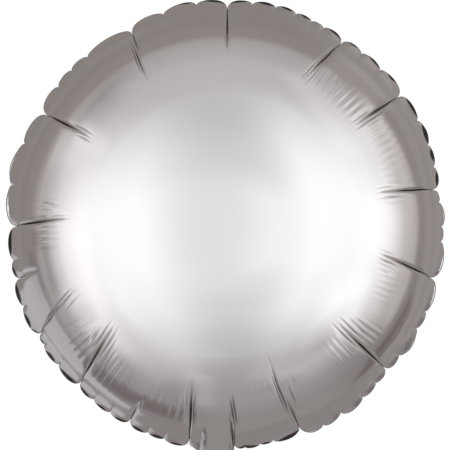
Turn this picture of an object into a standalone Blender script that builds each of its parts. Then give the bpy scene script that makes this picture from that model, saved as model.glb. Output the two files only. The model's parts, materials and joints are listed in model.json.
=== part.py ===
"""Round foil party balloon, inflated: two foil panels, their welded edge and the filling tail.

Metres, +Z up. The disc stands in the XZ plane, its front faces -Y and the tail hangs down.
The origin is the centre of the gas chamber. Angles round the rim are degrees clockwise from
the top, seen from the front.
"""

import math

import bmesh
import bpy

# The two round foils lie flat before filling. Film hardly stretches, so the filled chamber's
# radius is 0.7627 of the flat one, and the excess of the rim goes into creases.
FLAT_DIAMETER = 0.450
WELD_WIDTH = 0.006
FILLED_SHARE = 0.7627
CHAMBER_RADIUS = FILLED_SHARE * (FLAT_DIAMETER / 2 - WELD_WIDTH)
HEIGHT_STRETCH = 0.011

# Foil is 0.04 mm thick. A thicker wall stands for it.
WALL = 0.0012
WELD_THICKNESS = 0.0012
GAP = 0.0003

# The neck is where both panels run out into the tail, gathered by the creases beside it.
NECK_RIGHT = 0.0062
NECK_LEFT = -0.0172
NECK_BOTTOM = -0.1810
NECK_START = 177.8
NECK_END = 189.5
NECK_SPOKES = 3

# Every deep crease: its angle at the rim, its angle at its inner end, how far in it reaches as a
# share of the radius, and the angles of the puckers between it and the next crease.
CREASES = (
    (0.5, 0.5, 0.79, (7, 13, 18.5, 23, 26.5)),
    (32.5, 28.7, 0.77, (38.5, 45)),
    (53.5, 52.4, 0.75, (61.5, 68.5, 74.5)),
    (80.5, 78, 0.70, (84, 90.5, 94.5)),
    (104.5, 100.7, 0.71, (113.5, 118.5, 127)),
    (132, 131.4, 0.68, (136.5, 141.5, 148.5, 154)),
    (160, 161.3, 0.66, (167.5, 171, 175)),
    (NECK_START, 179.5, 0.78, ()),
    (NECK_END, 192, 0.72, (196, 200.5)),
    (206, 206, 0.90, (211.5, 217)),
    (222.5, 227.7, 0.68, (230, 236.5)),
    (239.5, 244.9, 0.75, (248, 255, 260.5)),
    (269.5, 272.3, 0.71, (280.5, 292)),
    (301.5, 302.9, 0.735, (309.5, 315, 320.5)),
    (334, 332.6, 0.76, (343.5, 352.5)),
)
CREASE_DEPTH = 0.0030
LOBE_HEIGHT = 0.0036
LOBE_FULL_WIDTH = 8.0
LOBE_WAVE = 0.0014
SPOKE_SPACING = 2.8

# The tail: a flat tongue of both foils, welded along its sides, with the two valve films between.
TAIL_LENGTH = 0.062
TAIL_HALF_WIDTH = 0.015
TAIL_GATHER = 0.014
TAIL_CORNER = 0.004
TAIL_WELD_WIDTH = 0.0035
ROUNDING = 0.92
FOIL_LAYER = 0.0008
FILM_LAYER = 0.00045
FILM_HALF_WIDTH = 0.0078
FILM_OUT_OF_MOUTH = 0.003
FOIL_START = 0.0010

# Rings of a panel, from the centre out, by the slope of the wall in degrees.
INNER_RINGS = (10, 20)
INNER_SPOKES = 40
CREASE_RINGS = (29, 38)
RIM_RINGS = (48, 60, 74, 90)
SHOULDER = 2.4


def notches():
    """Every crease and pucker round the rim in order, as (angle, is a crease)."""
    found = []
    for angle, _, _, puckers in CREASES:
        found.append((angle, True))
        found += [(pucker, False) for pucker in puckers]
    return found


def lobes():
    """The stretches of rim between notches, as (start, end, direction of the wave)."""
    angles = [angle for angle, _ in notches()]
    ends = angles[1:] + [angles[0] + 360]
    return [(start, end, 1 if i % 2 else -1) for i, (start, end) in enumerate(zip(angles, ends))]


def lobe_at(angle):
    """The lobe that holds an angle, with the share of the way across it."""
    angle = (angle - CREASES[0][0]) % 360 + CREASES[0][0]
    for start, end, wave in lobes():
        if start <= angle <= end:
            return start, end, wave, (angle - start) / (end - start)
    raise ValueError(angle)


def in_neck(angle):
    """Whether the rim at this angle belongs to the neck."""
    return NECK_START < angle % 360 < NECK_END


def neck_corner(x):
    """The angle of a corner of the neck's level foot."""
    return 180 + math.degrees(math.atan2(-x, -NECK_BOTTOM))


def foot_radius(angle):
    """The radius of the neck's level foot at this angle."""
    return -NECK_BOTTOM / math.cos(math.radians(angle - 180))


def neck_radius(angle):
    """The outline of the neck: level at its foot, with a slope up to the crease on its left."""
    left = neck_corner(NECK_LEFT)
    if angle <= left:
        return foot_radius(angle)
    way = (angle - left) / (NECK_END - left)
    return foot_radius(left) + (plain_outline(NECK_END) - foot_radius(left)) * way


def plain_outline(angle):
    """The radius of the weld's outer edge at the notches, a little taller than wide."""
    return (CHAMBER_RADIUS + WELD_WIDTH - CREASE_DEPTH / 2) * (
        1 + HEIGHT_STRETCH * math.cos(2 * math.radians(angle))
    )


def crease_drop(angle):
    """How much deeper a crease cuts the rim than a pucker does, at this very angle."""
    at_crease = any(abs(angle % 360 - crease) < 0.01 for crease, _, _, _ in CREASES)
    return CREASE_DEPTH / 2 if at_crease else 0


def outline(angle):
    """The radius of the weld's outer edge, with its rounded lobes and sharp notches."""
    if in_neck(angle):
        return neck_radius(angle % 360)
    start, end, _, way = lobe_at(angle)
    height = LOBE_HEIGHT * min(1, (end - start) / LOBE_FULL_WIDTH)
    return plain_outline(angle) + height * math.sqrt(math.sin(math.pi * way)) - crease_drop(angle)


def wave(angle):
    """How far the weld leans to the front or back at this angle."""
    if in_neck(angle):
        return 0
    _, _, direction, way = lobe_at(angle)
    return direction * LOBE_WAVE * math.sin(math.pi * way)


def profile(slope):
    """Radius and half thickness of a filled pair of discs where the wall has this slope."""
    steps = 60
    width = (math.pi / 2 - slope) / steps
    middles = (slope + (i + 0.5) * width for i in range(steps))
    rise = sum(math.sqrt(math.sin(middle)) for middle in middles) * width
    return CHAMBER_RADIUS * math.sqrt(math.sin(slope)), CHAMBER_RADIUS / 2 * rise


def crease_depth(angle, share):
    """How deep a crease cuts here, and zero beside it."""
    for rim_angle, inner_angle, reach, _ in CREASES:
        if share <= reach:
            continue
        way = (share - reach) / (1 - reach)
        centre = inner_angle + (rim_angle - inner_angle) * way
        if abs((angle - centre + 180) % 360 - 180) < 0.05:
            return CREASE_DEPTH * math.sqrt(math.sin(math.pi * min(way, 0.5)))
    return 0


def panel_point(slope_degrees, angle):
    """A point on the outside of the front panel."""
    slope = math.radians(slope_degrees)
    radius, thickness = profile(slope)
    share = radius / CHAMBER_RADIUS
    at_rim = slope_degrees == RIM_RINGS[-1]
    rim_extra = outline(angle) - WELD_WIDTH - CHAMBER_RADIUS
    radius += rim_extra * share**14
    if not at_rim:
        depth = crease_depth(angle, share)
        radius -= depth * math.sin(slope)
        thickness -= depth * math.cos(slope)
    thickness = max(thickness, WELD_THICKNESS / 2 + GAP)
    around = math.radians(angle)
    lean = wave(angle) if at_rim else 0
    return radius * math.sin(around), -thickness + lean, radius * math.cos(around)


def crease_angle(crease, slope_degrees):
    """The angle of a crease's line on the ring with this slope."""
    rim_angle, inner_angle, reach, _ = crease
    share = math.sqrt(math.sin(math.radians(slope_degrees)))
    way = max(0, (share - reach) / (1 - reach))
    return inner_angle + (rim_angle - inner_angle) * way


def neck_spokes(start):
    """The angles of the vertices across the neck, with one at each corner of its foot."""
    right, left = neck_corner(NECK_RIGHT), neck_corner(NECK_LEFT)
    foot = [right + (left - right) * k / NECK_SPOKES for k in range(NECK_SPOKES + 1)]
    return [start, *foot, (left + NECK_END) / 2]


def rim_spokes(slope_degrees):
    """The angles of the vertices on a ring near the rim: each notch, and between notches."""
    creases = {crease[0]: crease for crease in CREASES}
    moved = [
        crease_angle(creases[angle], slope_degrees) if is_crease else angle
        for angle, is_crease in notches()
    ]
    spokes = []
    for i, (rim_start, rim_end, _) in enumerate(lobes()):
        if rim_start == NECK_START:
            spokes += neck_spokes(min(moved[i], NECK_START))
            continue
        start = moved[i]
        end = moved[i + 1] if i + 1 < len(moved) else moved[0] + 360
        count = max(2, round((rim_end - rim_start) / SPOKE_SPACING))
        spokes += [start + (end - start) * k / count for k in range(count)]
    return spokes


def crease_spokes(slope_degrees):
    """The angles on a middle ring: each crease with a shoulder on either side, and one between."""
    centres = [crease_angle(crease, slope_degrees) for crease in CREASES]
    spokes = []
    for i, centre in enumerate(centres):
        following = centres[i + 1] if i + 1 < len(centres) else centres[0] + 360
        spokes += [centre - SHOULDER, centre, centre + SHOULDER]
        if following - centre > 4 * SHOULDER:
            spokes.append((centre + following) / 2)
    return spokes


def even_spokes(count):
    return [360 * k / count for k in range(count)]


def ring(bm, points):
    """A closed ring of vertices and edges, made as a circle and moved to its points."""
    verts = bmesh.ops.create_circle(bm, segments=len(points), radius=1)["verts"]
    for vert, point in zip(verts, points):
        vert.co = point
    return list({edge for vert in verts for edge in vert.link_edges})


def open_panel():
    """The front panel as an open sheet: rings bridged from the rim to the centre."""
    bm = bmesh.new()
    rings = [(slope, even_spokes(INNER_SPOKES)) for slope in INNER_RINGS]
    rings += [(slope, crease_spokes(slope)) for slope in CREASE_RINGS]
    rings += [(slope, rim_spokes(slope)) for slope in RIM_RINGS]
    loops = [
        ring(bm, [panel_point(slope, angle) for angle in angles]) for slope, angles in rings
    ]
    for inner, outer in zip(loops, loops[1:]):
        bmesh.ops.bridge_loops(bm, edges=inner + outer)
    centre = bm.verts.new((0, -profile(0)[1], 0))
    for edge in loops[0]:
        bm.faces.new((*edge.verts, centre))
    bmesh.ops.recalc_face_normals(bm, faces=bm.faces)
    front = max(bm.faces, key=lambda face: -face.calc_center_median().y)
    if front.normal.y > 0:
        bmesh.ops.reverse_faces(bm, faces=bm.faces)
    return bm


def add_object(name, mesh, material, collection):
    """An object in the balloon's collection, with its material."""
    mesh.materials.append(material)
    made = bpy.data.objects.new(name, mesh)
    collection.objects.link(made)
    return made


def thicken(made, thickness, offset):
    """Gives a sheet its wall: offset -1 inwards, 0 to both sides."""
    solid = made.modifiers.new("wall", "SOLIDIFY")
    solid.thickness = thickness
    solid.offset = offset


def add_panels(material, collection):
    """The front panel, and the back one as its mirror image that leans with the same weld."""
    for name, side in (("front_panel", 1), ("back_panel", -1)):
        bm = open_panel()
        if side < 0:
            for vert in bm.verts:
                angle = math.degrees(math.atan2(vert.co.x, vert.co.z))
                on_rim = vert.is_boundary
                lean = wave(angle) if on_rim else 0
                vert.co.y = -(vert.co.y - lean) + lean
            bmesh.ops.reverse_faces(bm, faces=bm.faces)
        mesh = bpy.data.meshes.new(name)
        bm.to_mesh(mesh)
        bm.free()
        mesh.shade_smooth()
        thicken(add_object(name, mesh, material, collection), WALL, -1)


def add_edge_seam(material, collection):
    """The weld round the rim, as one closed band outside the chamber."""
    bm = bmesh.new()
    angles = rim_spokes(90)
    inner, outer = [], []
    for angle in angles:
        around = math.radians(angle)
        edge = outline(angle)
        for points, radius in ((inner, edge - WELD_WIDTH - WALL), (outer, edge)):
            points.append((radius * math.sin(around), wave(angle), radius * math.cos(around)))
    bmesh.ops.bridge_loops(bm, edges=ring(bm, inner) + ring(bm, outer))
    mesh = bpy.data.meshes.new("edge_seam")
    bm.to_mesh(mesh)
    bm.free()
    thicken(add_object("edge_seam", mesh, material, collection), WELD_THICKNESS, 0)


def half_width(down):
    """Half the width of the tail this far below its root: gathered there, then parallel."""
    root = (NECK_RIGHT - NECK_LEFT) / 2
    way = min(1, max(0, down / TAIL_GATHER))
    return root + (TAIL_HALF_WIDTH - root) * (1 - math.cos(math.pi * way)) / 2


def side_line(start, end):
    """Points down the right side of the tail, as (half width, distance below the root)."""
    downs = [start + (TAIL_GATHER - start) * k / 4 for k in range(5)]
    return [(half_width(down), down) for down in downs] + [(TAIL_HALF_WIDTH, end)]


def foil_outline():
    """The tail's outline with rounded corners at the mouth."""
    right = side_line(FOIL_START, TAIL_LENGTH - TAIL_CORNER)
    turns = [math.radians(30 * k) for k in (1, 2, 3)]
    right += [
        (
            TAIL_HALF_WIDTH - TAIL_CORNER * (1 - math.cos(turn)),
            TAIL_LENGTH - TAIL_CORNER * (1 - math.sin(turn)),
        )
        for turn in turns
    ]
    return right + [(-width, down) for width, down in reversed(right)]


def add_plate(name, points, thickness, y, material, collection, hinge):
    """A flat plate standing in the XZ plane, from points across and down from the hinge line."""
    curve = bpy.data.curves.new(name, "CURVE")
    curve.dimensions = "2D"
    curve.fill_mode = "BOTH"
    curve.extrude = thickness / 2
    spline = curve.splines.new("POLY")
    spline.points.add(len(points) - 1)
    for point, (across, down) in zip(spline.points, points):
        point.co = (across, -down, 0, 1)
    spline.use_cyclic_u = True
    curve.materials.append(material)
    plate = bpy.data.objects.new(name, curve)
    plate.parent = hinge
    plate.location = (0, y, 0)
    plate.rotation_euler = (math.pi / 2, 0, 0)
    collection.objects.link(plate)
    return plate


def add_tail_weld(name, side, material, collection, hinge):
    """One side weld between the foils. Its edges are round, so its top end turns on the hinge."""
    line = side_line(-WELD_THICKNESS / 2, TAIL_LENGTH - TAIL_CORNER)
    points = [(side * width, down) for width, down in line]
    points += [(side * (width - TAIL_WELD_WIDTH), down) for width, down in reversed(line)]
    plate = add_plate(name, points, WELD_THICKNESS, 0, material, collection, hinge)
    closed = plate.modifiers.new("close the caps", "WELD")
    closed.merge_threshold = 0.00001
    rounded = plate.modifiers.new("round edges", "BEVEL")
    rounded.width = ROUNDING * WELD_THICKNESS / 2
    rounded.segments = 2
    rounded.limit_method = "ANGLE"


def add_tail(foil, weld, film, collection):
    """The tongue on its hinge line, which lies just below the neck."""
    hinge = bpy.data.objects.new("tail_hinge", None)
    hinge.location = (
        (NECK_LEFT + NECK_RIGHT) / 2,
        0,
        NECK_BOTTOM - GAP - WELD_THICKNESS / 2,
    )
    collection.objects.link(hinge)
    foil_y = WELD_THICKNESS / 2 + GAP + FOIL_LAYER / 2
    for name, side in (("tail_front", -1), ("tail_back", 1)):
        add_plate(name, foil_outline(), FOIL_LAYER, side * foil_y, foil, collection, hinge)
    for name, side in (("tail_weld_left", -1), ("tail_weld_right", 1)):
        add_tail_weld(name, side, weld, collection, hinge)
    film_y = WELD_THICKNESS / 2 - FILM_LAYER / 2
    bottom = TAIL_LENGTH + FILM_OUT_OF_MOUTH
    film_points = [
        (-FILM_HALF_WIDTH, 0),
        (FILM_HALF_WIDTH, 0),
        (FILM_HALF_WIDTH, bottom),
        (-FILM_HALF_WIDTH, bottom),
    ]
    for name, side in (("valve_film_front", -1), ("valve_film_back", 1)):
        add_plate(name, film_points, FILM_LAYER, side * film_y, film, collection, hinge)


def make_material(name, colour, metallic, roughness, alpha=1.0):
    """A Principled material with plain values."""
    made = bpy.data.materials.new(name)
    made.use_nodes = True
    shader = made.node_tree.nodes["Principled BSDF"]
    shader.inputs["Base Color"].default_value = (*colour, 1)
    shader.inputs["Metallic"].default_value = metallic
    shader.inputs["Roughness"].default_value = roughness
    shader.inputs["Alpha"].default_value = alpha
    return made


def main():
    for old in list(bpy.data.objects):
        bpy.data.objects.remove(old)
    collection = bpy.data.collections.new("foil_balloon")
    bpy.context.scene.collection.children.link(collection)
    foil = make_material("metallised foil", (0.78, 0.78, 0.79), 1.0, 0.22)
    weld = make_material("welded foil", (0.66, 0.65, 0.66), 1.0, 0.32)
    film = make_material("clear valve film", (0.86, 0.88, 0.90), 0.0, 0.15, 0.5)
    add_panels(foil, collection)
    add_edge_seam(weld, collection)
    add_tail(foil, weld, film, collection)


main()
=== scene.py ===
"""Round foil balloon: its creased foil, welded edge, tail, valve and studio, as an add-on.

Metres, +Z up. The disc stands in the XZ plane and its front faces -Y. Angles round the rim are
degrees clockwise from the top, seen from the front. A share is a part of the chamber's radius,
and a way is a part of the length of whatever is named with it.
"""

import json
import math

import bmesh
import bpy
import numpy as np
from bpy.props import FloatProperty, FloatVectorProperty, IntProperty, PointerProperty
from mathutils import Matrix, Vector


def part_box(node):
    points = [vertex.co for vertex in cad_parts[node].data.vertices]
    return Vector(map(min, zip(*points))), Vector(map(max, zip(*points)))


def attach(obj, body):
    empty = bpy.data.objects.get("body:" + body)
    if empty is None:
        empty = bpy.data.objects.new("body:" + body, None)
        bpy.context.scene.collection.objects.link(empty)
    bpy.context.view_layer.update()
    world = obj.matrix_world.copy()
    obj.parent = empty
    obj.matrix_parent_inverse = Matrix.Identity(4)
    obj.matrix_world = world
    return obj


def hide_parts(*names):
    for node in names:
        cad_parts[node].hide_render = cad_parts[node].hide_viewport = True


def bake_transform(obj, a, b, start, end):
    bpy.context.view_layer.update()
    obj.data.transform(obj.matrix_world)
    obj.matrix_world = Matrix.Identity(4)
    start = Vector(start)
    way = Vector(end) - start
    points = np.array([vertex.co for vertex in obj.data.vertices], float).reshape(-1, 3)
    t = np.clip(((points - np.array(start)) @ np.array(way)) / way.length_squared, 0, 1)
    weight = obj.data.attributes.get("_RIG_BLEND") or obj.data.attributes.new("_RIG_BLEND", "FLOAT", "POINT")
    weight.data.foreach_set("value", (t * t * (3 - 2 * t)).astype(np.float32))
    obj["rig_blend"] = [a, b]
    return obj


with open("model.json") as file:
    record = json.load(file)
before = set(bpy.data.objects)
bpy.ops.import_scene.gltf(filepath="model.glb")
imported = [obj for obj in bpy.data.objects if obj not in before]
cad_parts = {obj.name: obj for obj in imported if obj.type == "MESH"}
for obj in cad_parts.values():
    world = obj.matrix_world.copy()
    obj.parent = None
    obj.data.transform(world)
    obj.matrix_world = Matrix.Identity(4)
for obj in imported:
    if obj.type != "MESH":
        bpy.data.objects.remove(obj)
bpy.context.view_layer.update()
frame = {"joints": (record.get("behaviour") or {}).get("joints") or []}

bl_info = {
    "name": "Round Foil Balloon",
    "version": (1, 0, 0),
    "blender": (4, 5, 0),
    "location": "View3D > Sidebar > Foil Balloon",
    "description": "Dresses a round foil balloon with creased film, a welded edge and a tail",
    "category": "Add Mesh",
}

MM = 0.001

# A filled pair of discs is 0.599 times as deep on each side as its radius, by the curve of film
# that doesn't stretch, which is summed in this many steps. The outline is a little tall.
DEPTH_SHARE = 0.59907
DEPTH_STEPS = 4000
CHAMBER_RADIUS = -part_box("front_panel")[0].y / DEPTH_SHARE
HEIGHT_STRETCH = 0.011

# The neck, where both panels run out into the tail: the corners and height of its level foot, the
# angles between which it replaces the scalloped rim, and how many degrees it takes to run into it.
NECK_RIGHT = 6.2 * MM
NECK_LEFT = -17.2 * MM
NECK_BOTTOM = -181.0 * MM
NECK_START = 177.8
NECK_END = 189.5
CORNER_RIGHT_RUN = 0.8
CORNER_LEFT_RUN = 1.0
SLOPE_RIGHT_RUN = 1.5
SLOPE_LEFT_RUN = 3
HINGE = frame["joints"][0]["pos_m"]

# Every deep crease: its angle at the rim, its angle at its inner end, how far in it reaches as a
# share of the radius, and the angles of the puckers between it and the next crease.
CREASES = (
    (0.5, 0.5, 0.79, (7, 13, 18.5, 23, 26.5)),
    (32.5, 28.7, 0.77, (38.5, 45)),
    (53.5, 52.4, 0.75, (61.5, 68.5, 74.5)),
    (80.5, 78, 0.70, (84, 90.5, 94.5)),
    (104.5, 100.7, 0.71, (113.5, 118.5, 127)),
    (132, 131.4, 0.68, (136.5, 141.5, 148.5, 154)),
    (160, 160.6, 0.84, (167.5, 171, 175)),
    (NECK_START, 178.9, 0.86, ()),
    (NECK_END, 192, 0.72, (196, 200.5)),
    (206, 206, 0.90, (211.5, 217)),
    (222.5, 227.7, 0.68, (230, 236.5)),
    (239.5, 244.9, 0.83, (248,)),
    (255.4, 256.8, 0.89, (260.5,)),
    (269.5, 272.3, 0.71, (280.5, 292)),
    (301.5, 302.9, 0.735, (309.5, 315, 320.5)),
    (334, 333.2, 0.87, (343.5, 352.5)),
)
# A crease is deepest at this way from its inner end and then closes towards the rim, where it
# loses these parts of its depth and width. One that reaches in less than its full reach is
# shallower, down to the least depth. Its line runs on at its slant beyond the inner end, to this
# many times its length from the rim.
FOLD_DEEPEST = 0.55
FOLD_POWER = 1.4
FOLD_CLOSING = 0.8
FOLD_NARROWING = 0.45
FOLD_INNER_WIDTH = 0.5
FOLD_FULL_REACH = 0.25
FOLD_LEAST_DEPTH = 0.7
FOLD_LINE_REACH = 1.4

# The rim's notches and the round lobes between them. A lobe narrower than its full width, in
# degrees, is lower.
RIM_DRAWN_IN = 1.5 * MM
LOBE_HEIGHT = 3.6 * MM
LOBE_FULL_WIDTH = 8.0
NOTCH_DEPTH = 2.4 * MM
NOTCH_WIDTH = 0.8
WELD_WIDTH = 6.0 * MM

# Groups of fine ripples that the excess film makes between creases: from and to these angles,
# from and to these shares of the radius, how many ridges, and their height.
RIPPLES = (
    (30, 52, 0.72, 0.87, 9, 0.18 * MM),
    (55, 79, 0.74, 0.89, 10, 0.20 * MM),
    (103, 118, 0.72, 0.87, 7, 0.20 * MM),
    (123, 131, 0.72, 0.90, 4, 0.22 * MM),
    (133, 142, 0.70, 0.86, 4, 0.20 * MM),
    (162, 176, 0.72, 0.90, 6, 0.14 * MM),
    (190, 205, 0.80, 0.96, 6, 0.14 * MM),
    (209, 222, 0.76, 0.96, 6, 0.24 * MM),
    (224, 238, 0.74, 0.95, 6, 0.24 * MM),
    (262, 270, 0.74, 0.88, 4, 0.18 * MM),
    (273, 280, 0.75, 0.88, 3, 0.16 * MM),
)

# Where the rim bulges or draws in, in millimetres at these angles.
RIM_SWELLS = (
    (0, -0.2), (10, 2.0), (15, 2.2), (32, -0.8), (45, 0.3), (58, 0.4), (65, 1.3), (75, -0.2),
    (82, -1.4), (88, 0.2), (100, 0.6), (105, -0.4), (114, 1.2), (120, 0.2), (124, 1.2),
    (128, -0.6), (135, -0.4), (142, 1.4), (147, 2.2), (149, 1.0), (153, 2.8), (157, 2.0),
    (161, -1.0), (170, 1.0), (175, 2.4), (197, 1.6), (212, 0.4), (221, -0.8), (235, -0.2),
    (249, 0.8), (262, -1.0), (269, -2.2), (276, 0.3), (285, 2.2), (292, 0.2), (301, -2.8),
    (308, -1.2), (315, -0.2), (332, -3.0), (345, -0.4), (351, 1.4), (356, 0.4),
)

# Fine folds beside a crease: the crease's angle, how far they lie from it clockwise in
# millimetres, from and to these shares of the radius, and their depth in millimetres. They are
# deepest, and closed the most, at these ways from their inner ends.
STRAND_DEEPEST = 0.45
STRAND_CLOSED = 0.55
STRANDS = (
    (32.5, -2.6, 0.74, 0.90, 0.5), (32.5, 2.8, 0.72, 0.88, 0.45),
    (53.5, -3.0, 0.74, 0.88, 0.4), (53.5, 3.2, 0.72, 0.94, 0.6), (53.5, 6.4, 0.76, 0.90, 0.3),
    (80.5, -3.8, 0.70, 0.82, 0.4), (80.5, 4.4, 0.70, 0.86, 0.6), (80.5, 8.0, 0.73, 0.84, 0.35),
    (104.5, -3.2, 0.70, 0.82, 0.3), (104.5, 3.6, 0.68, 0.86, 0.55),
    (104.5, 7.4, 0.69, 0.84, 0.45), (104.5, 11.4, 0.70, 0.82, 0.35),
    (132, -4.0, 0.66, 0.86, 0.55), (132, -8.6, 0.68, 0.88, 0.5), (132, -12.6, 0.70, 0.90, 0.35),
    (132, 3.6, 0.66, 0.86, 0.7), (132, 8.0, 0.72, 0.86, 0.35),
    (160, -5.0, 0.76, 0.92, 0.6), (160, -8.4, 0.74, 0.90, 0.5), (160, 2.8, 0.62, 0.99, 1.7),
    (160, 4.6, 0.66, 0.96, 0.8),
    (NECK_START, -2.4, 0.74, 0.99, 1.2), (NECK_START, -4.2, 0.72, 0.97, 1.0),
    (NECK_END, 3.4, 0.72, 0.94, 0.4), (NECK_END, -2.4, 0.76, 0.94, 0.6),
    (206, -2.6, 0.86, 0.96, 0.5),
    (222.5, -4.0, 0.66, 0.88, 0.6), (222.5, -8.2, 0.70, 0.90, 0.5), (222.5, -12.2, 0.74, 0.92, 0.4),
    (222.5, 3.8, 0.66, 0.88, 0.6), (222.5, 8.0, 0.70, 0.88, 0.45), (222.5, 12.0, 0.74, 0.88, 0.3),
    (239.5, -1.6, 0.72, 0.92, 0.4), (239.5, -7.0, 0.72, 0.86, 0.3), (239.5, 1.8, 0.74, 0.94, 0.4),
    (269.5, 3.0, 0.72, 0.84, 0.4), (269.5, 12.0, 0.76, 0.88, 0.35),
    (301.5, 3.2, 0.73, 0.86, 0.5), (301.5, -2.8, 0.72, 0.80, 0.35),
    (334, -2.4, 0.73, 0.99, 1.7), (334, -4.2, 0.76, 0.97, 0.7),
)

# Where the weld's edge is painted dark as shade, for a curl so far back that it would mirror the
# dark inside of its own fold: from and to these angles, and how wide the painted shade shows at its
# middle in millimetres.
SHADED_CURLS = (
    (348.0, 351.6, 1.1), (354.2, 360.2, 1.6), (361.0, 365.8, 1.5), (8.2, 12.8, 1.9), (14.3, 17.7, 1.7),
    (19.8, 22.5, 1.7), (27.8, 32.3, 1.7), (34.0, 37.0, 1.2), (40.4, 44.7, 1.6), (47.0, 50.2, 1.6),
    (54.8, 60.9, 2.0), (63.0, 68.3, 2.9), (69.6, 73.3, 2.6), (75.8, 79.9, 2.4),
    (160.1, 166.4, 2.7), (168.2, 170.8, 1.5), (171.5, 176.8, 2.2),
    (190.9, 194.5, 1.5), (196.0, 199.8, 2.2), (201.4, 205.3, 2.0), (206.0, 210.2, 1.7),
    (212.6, 216.0, 1.7), (218.2, 222.1, 2.1), (222.9, 229.2, 2.6), (231.0, 235.0, 2.4),
    (236.4, 238.6, 1.3), (239.6, 241.8, 1.4), (242.0, 246.4, 2.4), (248.6, 254.3, 2.6),
    (255.3, 259.0, 2.0), (261.5, 269.0, 2.4),
)
CURL_SHADE_SPREAD = 1.3
# Elsewhere the weld's painted dark edge of shade is this wide in millimetres, and this wide beside a glint
EDGE_LINE = 0.3
GLINT_LINE = 0.6

# Where the weld's edge turns forward and catches a softbox: from and to these angles, and how
# much of the weld's width turns.
GLINTS = (
    (85.5, 90.2, 0.20), (98.0, 103.6, 0.32), (105.0, 112.8, 0.34), (121.0, 126.6, 0.22),
    (143.0, 147.0, 0.16), (149.4, 152.6, 0.20), (155.0, 158.6, 0.24),
    (270.4, 278.2, 0.46), (283.0, 288.6, 0.20),
)
# The painted dark edge has its width for a glint where this much of the weld or more turns. The
# shaded curls and the glints taper to both ends like a lens, by this power of a sine.
LEAST_GLINT = 1 / 6
LENS_POWER = 0.6

# The plain shape ends at this share, and from there the film runs out to the weld at the edge's
# slope, or less steeply at the neck. There the film takes up half the height of a lobe.
PLAIN_SHARE = 0.93
EDGE_SLOPE = 70.0
NECK_SLOPE = 60.0
EDGE_HALF = 0.25 * MM
LOBE_POWER = 4.0
LOBE_IN_FILM = 0.5
# The weld shows this wide from the front, since it leans back this far. It starts a little
# inside and behind the film's edge.
WELD_SHOWN = 2.6 * MM
WELD_LEAN = 7.0 * MM
WELD_STEPS = 10
WELD_TUCK = 0.8 * MM
WELD_BEHIND = 0.15 * MM

# Half the width of the painted shade line where a fold closes, and how much wider at its inner end
FOLD_LINE = 0.34 * MM
FOLD_LINE_SPREAD = 0.5
# How dark the painted shade of a crease is where it is still open, between which ways it gets
# there, how much darker the painted shade of a fine fold is for each millimetre of its depth, and
# how dark the shade painted on the film is where the neck's corners pinch it, which starts within
# this share of the plain shape's end
OPEN_FOLD = 0.3
OPEN_FOLD_WAYS = (0.1, 0.5)
STRAND_DARKNESS = 1.3
NECK_PINCH_SHADE = 0.55
PINCH_RUN = 0.02
# The colour of all painted shade, in the folds and along the weld's edge
PAINTED_SHADE_COLOUR = "#3A3533"

# How much closer the columns of faces stand at a notch, in the folds beside a crease and in the
# ripples, and how many degrees the first two reach
NOTCH_CROWDING = 1.2
NOTCH_REACH = 0.5
CREASE_CROWDING = 3.4
CREASE_REACH = (2.0, 3.6)
RIPPLE_CROWDING = 0.9
LOBE_SAMPLES = 400
LEAST_COLUMNS = 5

# The rings of faces, from the centre to the end of the plain shape, and on to the weld
PLAIN_RINGS = np.concatenate([
    np.linspace(0.10, 0.60, 6), np.linspace(0.60, PLAIN_SHARE, 21)[1:],
])
RIM_STEPS = np.linspace(0, 1, 15)[1:]
RINGS = len(PLAIN_RINGS) + len(RIM_STEPS)
# An edge between faces is drawn sharp where it bends more than this
SHARP_DEGREES = 40


def linear(hex_colour):
    """An sRGB hex colour as linear RGBA."""
    parts = [int(hex_colour[i:i + 2], 16) / 255 for i in (1, 3, 5)]
    return [p / 12.92 if p <= 0.04045 else ((p + 0.055) / 1.055) ** 2.4 for p in parts] + [1]


class FilmSizes(bpy.types.PropertyGroup):
    """Sizes of the film and its folds."""

    film: FloatProperty(
        name="Film", description="Drawn thickness of the foil", default=0.1 * MM,
        min=0.02 * MM, unit="LENGTH", subtype="DISTANCE",
    )
    weld: FloatProperty(
        name="Weld", description="Drawn thickness of the fused film", default=0.2 * MM,
        min=0.04 * MM, unit="LENGTH", subtype="DISTANCE",
    )
    fold_depth: FloatProperty(
        name="Fold depth", description="How deep a crease cuts at the rim", default=5.0 * MM,
        unit="LENGTH", subtype="DISTANCE",
    )
    fold_width: FloatProperty(
        name="Fold width", description="Half width of a crease", default=0.9 * MM,
        unit="LENGTH", subtype="DISTANCE",
    )
    strand_width: FloatProperty(
        name="Strand width", description="Half width of the fine folds beside a crease",
        default=0.8 * MM, unit="LENGTH", subtype="DISTANCE",
    )
    spokes: IntProperty(
        name="Spokes", description="Columns of faces round a panel", default=1170, min=60,
    )


class Finishes(bpy.types.PropertyGroup):
    """Colours and sheen of the film."""

    foil: FloatVectorProperty(
        name="Foil", description="Metallised face of the film", default=linear("#E5E3E2")[:3],
        subtype="COLOR", min=0, max=1,
    )
    roughness: FloatProperty(
        name="Roughness", description="Satin of the foil", default=0.13, min=0, max=1,
    )
    weld: FloatVectorProperty(
        name="Weld", description="Face of the heat-sealed film", default=linear("#E3E1E1")[:3],
        subtype="COLOR", min=0, max=1,
    )
    weld_roughness: FloatProperty(
        name="Weld roughness", description="Dullness of the seal", default=0.2, min=0, max=1,
    )
    valve_alpha: FloatProperty(
        name="Valve film", description="How much the clear film hides", default=0.4, min=0, max=1,
    )


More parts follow.
